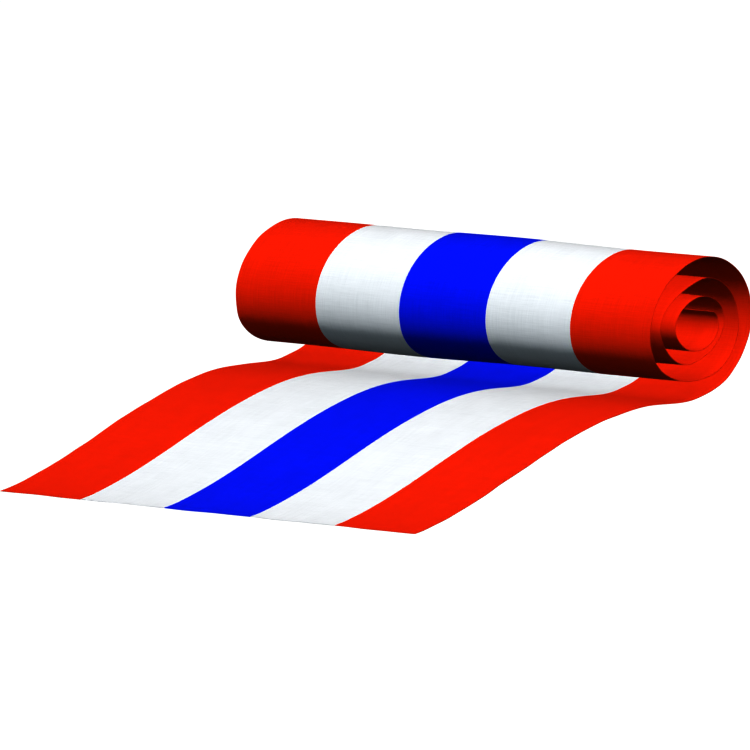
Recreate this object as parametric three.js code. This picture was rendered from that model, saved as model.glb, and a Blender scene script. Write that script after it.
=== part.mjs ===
// Loose roll of five-stripe bunting, lying on its side with its outer end laid out in front over a low hump.
// Millimetres. +X runs along the roll, +Y to the back, away from the laid-out end, and +Z up.
// The origin is the middle of the flat spot under the roll, halfway across the cloth's width.

import * as THREE from 'three';

// The cloth: one cut length of narrow bunting, and how finely its curves are drawn
const clothWidth = 457.2;
const clothThickness = 1.2;
const stepsPerQuarterTurn = 12;
const stepsInLastQuarterTurn = 5;
const stepsPerHumpSlope = 20;

// The laid-out end: heights over the floor, and distances in front of the origin
const hump = {
  height: 16.7,
  crestAt: 109,
  backFootAt: 5,
  backCrestPull: 58.5,
  backFootPull: 27,
  frontFootAt: 302.5,
  frontPull: 71.5,
};
const looseEndAt = 316.5;

// The roll: each turn's outer face at its lowest point, its back, its top and its front, as y and z.
// The first turn leaves the floor at the back edge of the flat spot. The last ends inside the roll, a little
// past its back, on its way to the top that is given for it.
const turns = [
  { bottomY: 5, bottomZ: 0, backY: 67, backZ: 56.5, topY: 19, topZ: 102.5, frontY: -43.8, frontZ: 50.2 },
  { bottomY: 9, bottomZ: 12.2, backY: 51.5, backZ: 52, topY: 21.2, topZ: 85.2, frontY: -30.7, frontZ: 59.6 },
  { bottomY: -4, bottomZ: 27, backY: 37.4, backZ: 53, topY: 12.5, topZ: 74.3, frontY: -15.8, frontZ: 55 },
  { bottomY: 8, bottomZ: 34.3, backY: 29.7, backZ: 52.2, topY: 14, topZ: 63.2 },
];
const sides = ['bottom', 'back', 'top', 'front'];

// The angles of a quarter turn's points, after its first
const quarterAngles = Array.from(
  { length: stepsPerQuarterTurn },
  (_, i) => ((i + 1) / stepsPerQuarterTurn) * (Math.PI / 2),
);

// A quarter of an ellipse that leaves its first point level and reaches its second upright
function levelToUpright(from, to) {
  return quarterAngles.map((angle) => new THREE.Vector2(
    from.x + (to.x - from.x) * Math.sin(angle),
    to.y + (from.y - to.y) * Math.cos(angle),
  ));
}

// The same, leaving upright and arriving level
function uprightToLevel(from, to) {
  return quarterAngles.map((angle) => new THREE.Vector2(
    to.x + (from.x - to.x) * Math.cos(angle),
    from.y + (to.y - from.y) * Math.sin(angle),
  ));
}

// The laid-out end's outer face, which lies on the floor, rises over the hump and meets the flat spot
function looseEndPath() {
  const crest = new THREE.Vector2(-hump.crestAt, hump.height);
  const frontFoot = new THREE.Vector2(-hump.frontFootAt, 0);
  const backFoot = new THREE.Vector2(-hump.backFootAt, 0);
  const along = (point, distance) => new THREE.Vector2(point.x + distance, point.y);
  const rise = new THREE.CubicBezierCurve(
    frontFoot, along(frontFoot, hump.frontPull), along(crest, -hump.frontPull), crest,
  );
  const fall = new THREE.CubicBezierCurve(
    crest, along(crest, hump.backCrestPull), along(backFoot, -hump.backFootPull), backFoot,
  );
  return [
    new THREE.Vector2(-looseEndAt, 0),
    ...rise.getSpacedPoints(stepsPerHumpSlope),
    ...fall.getSpacedPoints(stepsPerHumpSlope).slice(1),
  ];
}

// The roll's outer face, from the back edge of the flat spot to the inner end
function rollPath() {
  const crowns = turns.flatMap((turn) => sides
    .filter((side) => `${side}Y` in turn)
    .map((side) => new THREE.Vector2(turn[`${side}Y`], turn[`${side}Z`])));
  const quarterTurns = crowns.slice(1).map((crown, i) => (
    i % 2 === 0 ? levelToUpright(crowns[i], crown) : uprightToLevel(crowns[i], crown)
  ));
  const innerEnd = quarterTurns.pop().slice(0, stepsInLastQuarterTurn);
  return [crowns[0], ...quarterTurns.flat(), ...innerEnd];
}

// The other face of the cloth, one thickness towards the inside of the roll
function innerFace(outer) {
  return outer.map((point, i) => {
    const before = outer[Math.max(i - 1, 0)];
    const after = outer[Math.min(i + 1, outer.length - 1)];
    const along = new THREE.Vector2().subVectors(after, before).normalize();
    return new THREE.Vector2(point.x - along.y * clothThickness, point.y + along.x * clothThickness);
  });
}

function bunting() {
  const outer = [...looseEndPath(), ...rollPath()];
  const section = new THREE.Shape([...outer, ...innerFace(outer).reverse()]);
  const cloth = new THREE.ExtrudeGeometry(section, { depth: clothWidth, bevelEnabled: false });
  cloth.translate(0, 0, -clothWidth / 2);
  const finish = new THREE.MeshStandardMaterial({ color: 0xf0f0f4, roughness: 0.9, metalness: 0 });
  const mesh = new THREE.Mesh(cloth, finish);
  mesh.name = 'bunting_cloth';
  // The section's own x, y and depth become the object's Y, Z and X
  mesh.rotation.set(Math.PI / 2, Math.PI / 2, 0);
  return mesh;
}

const roll = new THREE.Group();
roll.add(bunting());

export default roll;
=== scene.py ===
# Loose roll of five-stripe bunting, with its outer end laid out in front. Metres, +X along the roll, +Z up.
import math

import bpy
import numpy as np
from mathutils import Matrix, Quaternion, Vector


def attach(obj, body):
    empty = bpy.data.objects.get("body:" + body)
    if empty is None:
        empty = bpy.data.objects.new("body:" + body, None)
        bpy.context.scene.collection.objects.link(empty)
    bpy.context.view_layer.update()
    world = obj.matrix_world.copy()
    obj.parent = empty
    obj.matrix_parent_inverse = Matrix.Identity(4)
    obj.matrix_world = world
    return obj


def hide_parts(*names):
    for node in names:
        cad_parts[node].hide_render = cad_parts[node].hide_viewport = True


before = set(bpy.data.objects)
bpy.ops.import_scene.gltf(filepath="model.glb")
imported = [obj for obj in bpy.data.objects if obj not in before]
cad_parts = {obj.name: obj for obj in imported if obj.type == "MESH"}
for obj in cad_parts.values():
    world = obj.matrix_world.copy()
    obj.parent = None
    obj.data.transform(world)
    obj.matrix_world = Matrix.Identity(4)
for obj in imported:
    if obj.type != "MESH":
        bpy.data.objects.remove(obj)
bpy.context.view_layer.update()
print("frame loaded:", sorted(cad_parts))


def rgb(red, green, blue):
    return (red, green, blue, 1.0)


# The cloth: change its cut, the roll's turns or the hump here
cloth = {
    "width": 0.4572,
    "thickness": 0.0003,
    # each turn's outer face at its lowest point, its back, its top and its front, as (y, z)
    "turns": [
        {"bottom": (0.0050, 0.0000), "back": (0.0670, 0.0565),
         "top": (0.0190, 0.1025), "front": (-0.0438, 0.0502)},
        {"bottom": (0.0090, 0.0122), "back": (0.0515, 0.0520),
         "top": (0.0212, 0.0852), "front": (-0.0307, 0.0596)},
        {"bottom": (-0.0040, 0.0270), "back": (0.0374, 0.0530),
         "top": (0.0125, 0.0743), "front": (-0.0158, 0.0550)},
        {"bottom": (0.0080, 0.0343), "back": (0.0297, 0.0522), "top": (0.0140, 0.0632)},
    ],
    "lastQuarterShare": 5 / 12,     # how much of its last quarter turn the cloth has before its inner end
    # the laid-out end, as distances in front of the origin
    "humpHeight": 0.0167,
    "crestAt": 0.109,
    "backFootAt": 0.005,
    "backCrestPull": 0.0585,
    "backFootPull": 0.027,
    "frontFootAt": 0.3025,
    "frontPull": 0.0715,
    "looseEndAt": 0.3165,
    "cellsAcross": 96,
    "cellsAlong": 470,
    "sharpAngle": 40.0,             # an edge between faces that meet at more degrees than this is sharp
}


# A share of a quarter ellipse from one point towards another: along the start's tangent it moves as the sine
# of the angle and across it as one minus the cosine, so it leaves along one axis and would arrive along the
# other.
def quarterTurn(start, stop, leavesLevel, share=1.0, steps=48):
    angle = np.linspace(0, share * math.pi / 2, steps)
    (y0, z0), (y1, z1) = start, stop
    if leavesLevel:
        return np.stack([y0 + (y1 - y0) * np.sin(angle), z1 + (z0 - z1) * np.cos(angle)], axis=1)
    return np.stack([y1 + (y0 - y1) * np.cos(angle), z0 + (z1 - z0) * np.sin(angle)], axis=1)


# A slope between two level points: the cubic whose four control heights are start, start, stop, stop,
# and whose middle controls stand a pull's length in from each end.
def slope(start, stop, startPull, stopPull, steps=96):
    t = np.linspace(0, 1, steps)
    y = ((1 - t) ** 3 * start[0] + 3 * (1 - t) ** 2 * t * (start[0] + startPull)
         + 3 * (1 - t) * t ** 2 * (stop[0] - stopPull) + t ** 3 * stop[0])
    z = start[1] + (stop[1] - start[1]) * (3 * t ** 2 - 2 * t ** 3)
    return np.stack([y, z], axis=1)


# The outer face's line in the y-z plane, from the loose end to the inner end, at even steps of its length
def clothLine(cut):
    foot, crest = (-cut["frontFootAt"], 0.0), (-cut["crestAt"], cut["humpHeight"])
    parts = [
        np.array([(-cut["looseEndAt"], 0.0)]),
        slope(foot, crest, cut["frontPull"], cut["frontPull"]),
        slope(crest, (-cut["backFootAt"], 0.0), cut["backCrestPull"], cut["backFootPull"]),
    ]
    sides = ("bottom", "back", "top", "front")
    crowns = [turn[side] for turn in cut["turns"] for side in sides if side in turn]
    for i, (start, stop) in enumerate(zip(crowns, crowns[1:])):
        share = cut["lastQuarterShare"] if i == len(crowns) - 2 else 1.0
        parts.append(quarterTurn(start, stop, i % 2 == 0, share))
    points = np.concatenate(parts)
    reach = np.concatenate([[0.0], np.cumsum(np.hypot(*np.diff(points, axis=0).T))])
    even = np.linspace(0, reach[-1], cut["cellsAlong"] + 1)
    return np.stack([np.interp(even, reach, points[:, k]) for k in (0, 1)], axis=1), even


line, along = clothLine(cloth)
clothLength = float(along[-1])
print("cloth length from loose end to inner end: %.4f m" % clothLength)


# How far real cloth strays from that line, in metres. Each wave is a row of its share, its rates across and
# along the cloth in radians for each metre, and where it starts.
stray = {
    "layLength": 0.32,          # length of the laid-out end, after which the roll's own unevenness sets in
    "layFade": 0.06,            # over this length
    "clearHeight": 0.008,       # height at which the cloth is wholly free: where it rests, it is even
    "rollBulge": 0.00035,       # slow swelling of the wound turns
    "rollWaves": [(1.0, 17.0, 9.0, 0.6), (0.7, 31.0, -23.0, 2.1), (0.5, 8.0, 41.0, 4.0)],
    "layRipple": 0.00022,       # ripple of the laid-out end, strongest at its side edges
    "layFromEdge": 0.030,       # how far in from a side edge it dies away
    "layWaves": [(1.0, 5.7, 71.0, 0.0), (0.5, 9.6, 119.0, 0.0)],
    "turnDrift": 0.00070,       # sideways wander of the turns, so that their edges don't line up exactly
    "driftWaves": [(1.0, 0.0, 13.0, 0.4), (0.6, 0.0, 29.0, 1.9)],
    "edgeWobble": 0.00018,      # unevenness of each side edge by itself
    "edgeFromEdge": 0.010,
    "edgeWaves": [(1.0, 9.0, 160.0, 0.0), (0.6, -5.0, 263.0, 0.0)],
    "endWobble": 0.00035,       # unevenness of the cut across the loose end
    "endFromEnd": 0.004,
    "endWaves": [(1.0, 57.0, 0.0, 0.0), (0.5, 131.0, 0.0, 1.0)],
    "endCurl": 0.0008,          # how far the loose end has curled up off the floor
    "curlLength": 0.016,        # over this length
}


# The sum of a table's sine waves at each point
def waves(table, across, alongCloth):
    return sum(share * np.sin(across * rateAcross + alongCloth * rateAlong + start)
               for share, rateAcross, rateAlong, start in table)


# Height off the line, inwards on the roll and upwards on the laid-out end: long waves on the roll, and on the
# laid-out end a ripple that falls off as e to the minus distance from the nearer side edge. Both fade out
# where the cloth rests. The loose end lifts with the square of how far a point is into its curl.
def heightOff(across, alongCloth, lineHeight):
    onRoll = np.clip((alongCloth - stray["layLength"]) / stray["layFade"], 0, 1)
    fromEdge = cloth["width"] / 2 - np.abs(across)
    swell = stray["rollBulge"] * waves(stray["rollWaves"], across, alongCloth)
    ripple = stray["layRipple"] * waves(stray["layWaves"], across, alongCloth) * np.exp(
        -fromEdge / stray["layFromEdge"])
    clear = np.clip(lineHeight / stray["clearHeight"], 0, 1)
    curl = stray["endCurl"] * np.clip(1 - alongCloth / stray["curlLength"], 0, 1) ** 2
    return clear * (swell * onRoll + ripple * (1 - onRoll)) + curl


# Sideways shift: the wound turns wander, and each side edge adds a small wave that falls off inwards as e to
# the minus distance from it
def sideShift(across, alongCloth):
    onRoll = np.clip((alongCloth - stray["layLength"]) / stray["layFade"], 0, 1)
    nearEdge = np.exp(-(cloth["width"] / 2 - np.abs(across)) / stray["edgeFromEdge"])
    return (stray["turnDrift"] * waves(stray["driftWaves"], across, alongCloth) * onRoll
            + stray["edgeWobble"] * waves(stray["edgeWaves"], across, alongCloth) * nearEdge)


# Where each side of the sheet lies on its flat map, as (left, bottom, right, top) of the unit square: the two
# faces side by side, and the four rims as narrow strips between and below them
flatMap = {
    "outer": (0.006, 0.012, 0.470, 0.988),
    "inner": (0.530, 0.012, 0.994, 0.988),
    "nearRim": (0.480, 0.012, 0.486, 0.988),
    "farRim": (0.514, 0.012, 0.520, 0.988),
    "looseRim": (0.006, 0.002, 0.470, 0.008),
    "innerRim": (0.530, 0.002, 0.994, 0.008),
}


# The cloth as two faces one thickness apart: across runs over the width and along over the length. A face's
# point is the line's point plus its inward normal times the height off it, and four narrow rims close the
# sheet.
def makeCloth():
    rows, columns = cloth["cellsAlong"] + 1, cloth["cellsAcross"] + 1
    count = rows * columns
    ahead = np.gradient(line, axis=0)
    ahead /= np.linalg.norm(ahead, axis=1)[:, None]
    inward = np.stack([-ahead[:, 1], ahead[:, 0]], axis=1)
    across, alongCloth = np.meshgrid(np.linspace(-cloth["width"] / 2, cloth["width"] / 2, columns), along)
    lift = heightOff(across, alongCloth, line[:, 1][:, None])
    x = across + sideShift(across, alongCloth)
    unevenCut = stray["endWobble"] * waves(stray["endWaves"], across, alongCloth) * np.exp(
        -alongCloth / stray["endFromEnd"])
    faces = []
    for offset in (0.0, cloth["thickness"]):
        y = line[:, 0][:, None] + inward[:, 0][:, None] * (lift + offset) + unevenCut
        z = np.maximum(line[:, 1][:, None] + inward[:, 1][:, None] * (lift + offset), offset)
        faces.append(np.stack([x, y, z], axis=2).reshape(-1, 3))
    points = np.concatenate(faces)

    index = np.arange(count).reshape(rows, columns)
    first, second = index[:-1, :-1].ravel(), index[1:, :-1].ravel()
    outer = np.stack([first, second, second + 1, first + 1], axis=1)

    def rim(edge):
        start, stop = edge[:-1], edge[1:]
        return np.stack([stop, start, start + count, stop + count], axis=1)

    sides = {
        "outer": outer, "inner": outer[:, ::-1] + count, "nearRim": rim(index[::-1, -1]),
        "farRim": rim(index[:, 0]), "looseRim": rim(index[0, ::-1]), "innerRim": rim(index[-1, :]),
    }
    mesh = bpy.data.meshes.new("bunting")
    mesh.from_pydata(points.tolist(), [], np.concatenate(list(sides.values())).tolist())

    clothMap, bakeMap = [], []
    for name, quads in sides.items():
        left, bottom, right, top = flatMap[name]
        row, column = np.divmod(quads.ravel() % count, columns)
        overWidth, overLength = column / (columns - 1), row / (rows - 1)
        overThickness = quads.ravel() // count
        u = overThickness if name in ("nearRim", "farRim") else overWidth
        v = overThickness if name in ("looseRim", "innerRim") else overLength
        clothMap.append(np.stack([overWidth * cloth["width"], overLength * clothLength], axis=1))
        bakeMap.append(np.stack([left + (right - left) * u, bottom + (top - bottom) * v], axis=1))
    for name, corners in (("clothMap", clothMap), ("OFBake", bakeMap)):
        values = np.concatenate(corners).astype(np.float32).ravel()
        mesh.uv_layers.new(name=name).uv.foreach_set("vector", values)
    mesh.set_sharp_from_angle(angle=math.radians(cloth["sharpAngle"]))
    mesh.validate()
    piece = bpy.data.objects.new("bunting_roll", mesh)
    bpy.context.scene.collection.objects.link(piece)
    return piece


bunting = makeCloth()
print("cloth mesh made:", len(bunting.data.polygons), "faces")


# Colours, stripes and threads of the finish. Sizes are in metres, and a noise's fineness is in waves a metre
finish = {
    "red": rgb(0.870, 0.060, 0.003),
    "white": rgb(0.860, 0.870, 0.885),
    "blue": rgb(0.003, 0.032, 0.860),
    "edgeStripe": 0.0881,      # the outer two stripes are a little narrower than the inner three
    "borderFineness": 900.0,   # unevenness of the stripes' borders
    "thread": 0.00045,         # from one thread to the next
    "threadHump": 0.4,         # 0 runs level over the threads it crosses, 1 is as humped along as across
    "threadDepth": 0.0001,
    "bump": 0.35,
    "hollowPaintedShade": 0.08,       # painted shade: how much darker the cloth is painted between its threads, where shade falls
    "threadShade": 0.05,       # how much threads differ from each other
    "slubShade": 0.13,         # thick and thin stretches of a thread, in shade, height and roughness
    "slubHeight": 0.5,
    "slubRoughness": 0.08,
    "slubAcross": 1500.0,      # how fine they are across a thread and along it
    "slubAlong": 45.0,
    "mottle": 0.07,            # slow variation over the whole cloth
    "mottleFineness": 38.0,
    "selvedge": 0.004,         # proud band along both side edges, and the width of its soft step
    "selvedgeStep": 0.0009,
    "roughness": 0.88,
    "gloss": 0.08,
    "sheen": 0.04,
    "sheenRoughness": 0.5,
}


# Adds a node with its values set, and links what it is given
def node(tree, kind, inputs=(), **settings):
    made = tree.nodes.new(kind)
    for name, value in settings.items():
        setattr(made, name, value)
    for socket, value in dict(inputs).items():
        if isinstance(value, bpy.types.NodeSocket):
            tree.links.new(value, made.inputs[socket])
        else:
            made.inputs[socket].default_value = value
    return made


def calc(tree, operation, a, b=0.0, c=0.0, clamp=False):
    return node(tree, "ShaderNodeMath", {0: a, 1: b, 2: c}, operation=operation, use_clamp=clamp).outputs[0]


# Smooth noise from 0 to 1
def noise(tree, place, fineness, detail):
    inputs = {"Vector": place, "Scale": fineness, "Detail": detail}
    return node(tree, "ShaderNodeTexNoise", inputs).outputs["Fac"]


# Stripes: a stepped ramp over the width, its borders uneven by part of a thread
def stripeColour(tree, place, u):
    waver = noise(tree, place, finish["borderFineness"], 1.0)
    uneven = calc(tree, "MULTIPLY_ADD", calc(tree, "SUBTRACT", waver, 0.5), finish["thread"], u)
    inside = (cloth["width"] - 2 * finish["edgeStripe"]) / 3
    starts = [0.0] + [finish["edgeStripe"] + i * inside for i in range(4)]
    stripes = node(tree, "ShaderNodeValToRGB", {"Fac": calc(tree, "DIVIDE", uneven, cloth["width"])})
    ramp = stripes.color_ramp
    ramp.interpolation = "CONSTANT"
    for _ in starts[2:]:
        ramp.elements.new(0.5)      # its place is set below
    for element, start, colour in zip(ramp.elements, starts, ("red", "white", "blue", "white", "red")):
        element.position = start / cloth["width"]
        element.color = finish[colour]
    return stripes.outputs["Color"]


# Plain weave: where the sine across times the sine along is positive, the lengthwise thread lies on top, and
# elsewhere the crosswise one. Its height is the size of the sine across that thread, times the size of the
# sine along it to the power of the thread's hump, so it is round across and nearly level along. Returns that
# height and the top thread's own shade.
def weave(tree, u, v):
    across, lengthways = (calc(tree, "DIVIDE", way, finish["thread"]) for way in (u, v))
    sines = [calc(tree, "SINE", calc(tree, "MULTIPLY", way, math.pi)) for way in (across, lengthways)]
    lengthwiseOnTop = calc(tree, "GREATER_THAN", calc(tree, "MULTIPLY", *sines), 0.0)
    hump = finish["threadHump"]
    powers = [calc(tree, "MULTIPLY_ADD", lengthwiseOnTop, 1 - hump, hump),
              calc(tree, "MULTIPLY_ADD", lengthwiseOnTop, hump - 1, 1.0)]
    sizes = [calc(tree, "POWER", calc(tree, "ABSOLUTE", sine), power) for sine, power in zip(sines, powers)]
    # a number of its own for each thread, the crosswise ones counted from 5000, past the last lengthwise one
    numbers = [calc(tree, "ADD", calc(tree, "FLOOR", way), first)
               for way, first in ((across, 0.5), (lengthways, 5000.5))]
    own = [node(tree, "ShaderNodeTexWhiteNoise", {"W": number}, noise_dimensions="1D").outputs["Value"]
           for number in numbers]
    shade = calc(tree, "MULTIPLY_ADD", calc(tree, "SUBTRACT", own[0], own[1]), lengthwiseOnTop, own[1])
    return calc(tree, "MULTIPLY", *sizes), shade


# Slubs: noise drawn out along each way of the threads, the two together about 0
def slubs(tree, place):
    fine, long = finish["slubAcross"], finish["slubAlong"]
    ways = [node(tree, "ShaderNodeMapping", {"Vector": place, "Scale": scale}).outputs[0]
            for scale in ((fine, long, 1.0), (long, fine, 1.0))]
    return calc(tree, "SUBTRACT", calc(tree, "ADD", *[noise(tree, way, 1.0, 2.0) for way in ways]), 1.0)


# The cloth's colour, roughness and relief, all read from its own flat map in metres
def clothFinish():
    material = bpy.data.materials.new("striped_cotton")
    material.use_nodes = True
    tree = material.node_tree
    tree.nodes.clear()
    place = node(tree, "ShaderNodeUVMap", uv_map="clothMap").outputs["UV"]
    parts = node(tree, "ShaderNodeSeparateXYZ", {0: place})
    u, v = parts.outputs[0], parts.outputs[1]
    height, ownShade = weave(tree, u, v)
    slub = slubs(tree, place)
    mottle = noise(tree, place, finish["mottleFineness"], 3.0)

    # each shade is added to 1, so that the cloth keeps its colour on the whole: first the painted shade in
    # the hollows between threads, then the threads' own tone, slubs and mottle
    shade = calc(tree, "MULTIPLY_ADD", calc(tree, "SUBTRACT", height, 0.5), finish["hollowPaintedShade"], 1.0)
    shades = ((ownShade, 0.5, "threadShade"), (slub, 0.0, "slubShade"), (mottle, 0.5, "mottle"))
    for value, middle, amount in shades:
        shade = calc(tree, "MULTIPLY_ADD", calc(tree, "SUBTRACT", value, middle), finish[amount], shade)
    colour = node(tree, "ShaderNodeVectorMath", {0: stripeColour(tree, place, u), "Scale": shade},
                  operation="SCALE").outputs[0]

    # the selvedge stands a thread's depth proud of the rest, with a soft step
    fromEdge = calc(tree, "MINIMUM", u, calc(tree, "SUBTRACT", cloth["width"], u))
    intoBand = calc(tree, "SUBTRACT", finish["selvedge"], fromEdge)
    proud = calc(tree, "DIVIDE", intoBand, finish["selvedgeStep"], clamp=True)
    relief = calc(tree, "ADD", calc(tree, "MULTIPLY_ADD", slub, finish["slubHeight"], height), proud)
    bump = node(tree, "ShaderNodeBump", {
        "Height": relief, "Strength": finish["bump"], "Distance": finish["threadDepth"]}).outputs[0]
    rough = calc(tree, "MULTIPLY_ADD", slub, finish["slubRoughness"], finish["roughness"])
    surface = node(tree, "ShaderNodeBsdfPrincipled", {
        "Base Color": colour, "Roughness": rough, "Normal": bump,
        "Specular IOR Level": finish["gloss"], "Sheen Weight": finish["sheen"],
        "Sheen Roughness": finish["sheenRoughness"]})
    node(tree, "ShaderNodeOutputMaterial", {"Surface": surface.outputs[0]})
    return material


bunting.data.materials.append(clothFinish())
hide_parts("bunting_cloth")
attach(bunting, "root")
print("cloth finished")


# Floor, light and camera
studio = {
    "floorSize": 12.0,
    "floorDrop": 0.0002,       # just under the cloth, so that the two don't share a plane
    "floorGlow": 0.97,
    "floorColour": rgb(0.08, 0.08, 0.08),
    "skyAbove": 0.03,
    "skyBelow": 0.05,
    # azimuth as seen from above: 0 is in front, 90 off the roll's near end and 180 behind; power in watts
    "lamps": [
        {"name": "key", "azimuth": 53.6, "elevation": 64.2, "distance": 18.0, "size": 2.4,
         "power": 3330.0, "colour": (1.0, 1.0, 1.0), "shadow": False},
        {"name": "key_with_shadow", "azimuth": 53.6, "elevation": 64.2, "distance": 18.0, "size": 2.4,
         "power": 246.0, "colour": (1.0, 1.0, 1.0), "shadow": True},
        {"name": "front_fill", "azimuth": 15.0, "elevation": 13.4, "distance": 18.0, "size": 4.0,
         "power": 845.0, "colour": (0.87, 1.0, 1.06), "shadow": False},
        {"name": "back_fill", "azimuth": 205.0, "elevation": -18.0, "distance": 18.0, "size": 6.0,
         "power": 2000.0, "colour": (0.87, 1.0, 1.06), "shadow": True},
    ],
    "gamma": 0.5,
    "diffuseBounces": 0,       # the drawing has no light passed from cloth to cloth
    "lens": 1600.0,
    "sensor": 36.0,
    "viewAzimuth": 48.40,
    "viewElevation": 16.12,
    "viewRoll": 11.74,
    "viewWidth": 0.5727,
    "viewNear": 0.1,           # the camera sees from this share of its distance to that
    "viewFar": 4,
    "lookAt": (-0.0163, -0.1057, 0.0361),
}


# The unit vector from the object towards a place round it: azimuth 0 is in front, at -Y, and 90 at +X
def towards(azimuth, elevation):
    a, e = math.radians(azimuth), math.radians(elevation)
    return Vector((math.sin(a) * math.cos(e), -math.cos(a) * math.cos(e), math.sin(e)))


# A pale floor that glows, so that it is even all over
def makeFloor():
    half, level = studio["floorSize"] / 2, -studio["floorDrop"]
    corners = [(-half, -half, level), (half, -half, level), (half, half, level), (-half, half, level)]
    mesh = bpy.data.meshes.new("floor")
    mesh.from_pydata(corners, [], [(0, 1, 2, 3)])
    floor = bpy.data.objects.new("floor", mesh)
    bpy.context.scene.collection.objects.link(floor)
    material = bpy.data.materials.new("floor_paint")
    material.use_nodes = True
    surface = material.node_tree.nodes["Principled BSDF"]
    surface.inputs["Base Color"].default_value = studio["floorColour"]
    surface.inputs["Roughness"].default_value = 1.0
    surface.inputs["Emission Color"].default_value = rgb(1.0, 1.0, 1.0)
    surface.inputs["Emission Strength"].default_value = studio["floorGlow"]
    mesh.materials.append(material)
    floor.visible_diffuse = floor.visible_glossy = floor.visible_shadow = False     # its glow lights no cloth


# A sky of one strength above the level of the floor and another below it
def makeSky():
    world = bpy.data.worlds.new("studio")
    bpy.context.scene.world = world
    world.use_nodes = True
    tree = world.node_tree
    way = node(tree, "ShaderNodeSeparateXYZ", {0: node(tree, "ShaderNodeTexCoord").outputs["Generated"]})
    above = calc(tree, "GREATER_THAN", way.outputs[2], 0.0)
    strength = calc(tree, "MULTIPLY_ADD", above, studio["skyAbove"] - studio["skyBelow"], studio["skyBelow"])
    tree.links.new(strength, tree.nodes["Background"].inputs["Strength"])
    tree.nodes["Background"].inputs["Color"].default_value = rgb(1.0, 1.0, 1.0)


# Square lamps that face the object
def makeLamps():
    for lamp in studio["lamps"]:
        data = bpy.data.lights.new(lamp["name"], "AREA")
        data.size, data.energy, data.color = lamp["size"], lamp["power"], lamp["colour"]
        data.use_shadow = lamp["shadow"]
        light = bpy.data.objects.new(lamp["name"], data)
        bpy.context.scene.collection.objects.link(light)
        aim = towards(lamp["azimuth"], lamp["elevation"])
        light.location = aim * lamp["distance"]
        light.rotation_mode = "QUATERNION"
        light.rotation_quaternion = aim.to_track_quat("Z", "Y")


# A long lens from far off, which sees the roll nearly as a parallel drawing does
def makeCamera():
    data = bpy.data.cameras.new("camera")
    data.lens, data.sensor_width = studio["lens"], studio["sensor"]
    distance = studio["viewWidth"] * studio["lens"] / studio["sensor"]
    data.clip_start, data.clip_end = distance * studio["viewNear"], distance * studio["viewFar"]
    camera = bpy.data.objects.new("camera", data)
    bpy.context.scene.collection.objects.link(camera)
    back = towards(studio["viewAzimuth"], studio["viewElevation"])
    camera.location = Vector(studio["lookAt"]) + back * distance
    camera.rotation_mode = "QUATERNION"
    turn = Quaternion(back, math.radians(-studio["viewRoll"]))
    camera.rotation_quaternion = turn @ (-back).to_track_quat("-Z", "Y")
    bpy.context.scene.camera = camera


makeFloor()
makeSky()
makeLamps()
makeCamera()
bpy.context.scene.view_settings.view_transform = "Standard"
bpy.context.scene.view_settings.gamma = studio["gamma"]
bpy.context.scene.cycles.diffuse_bounces = studio["diffuseBounces"]
print("studio made")
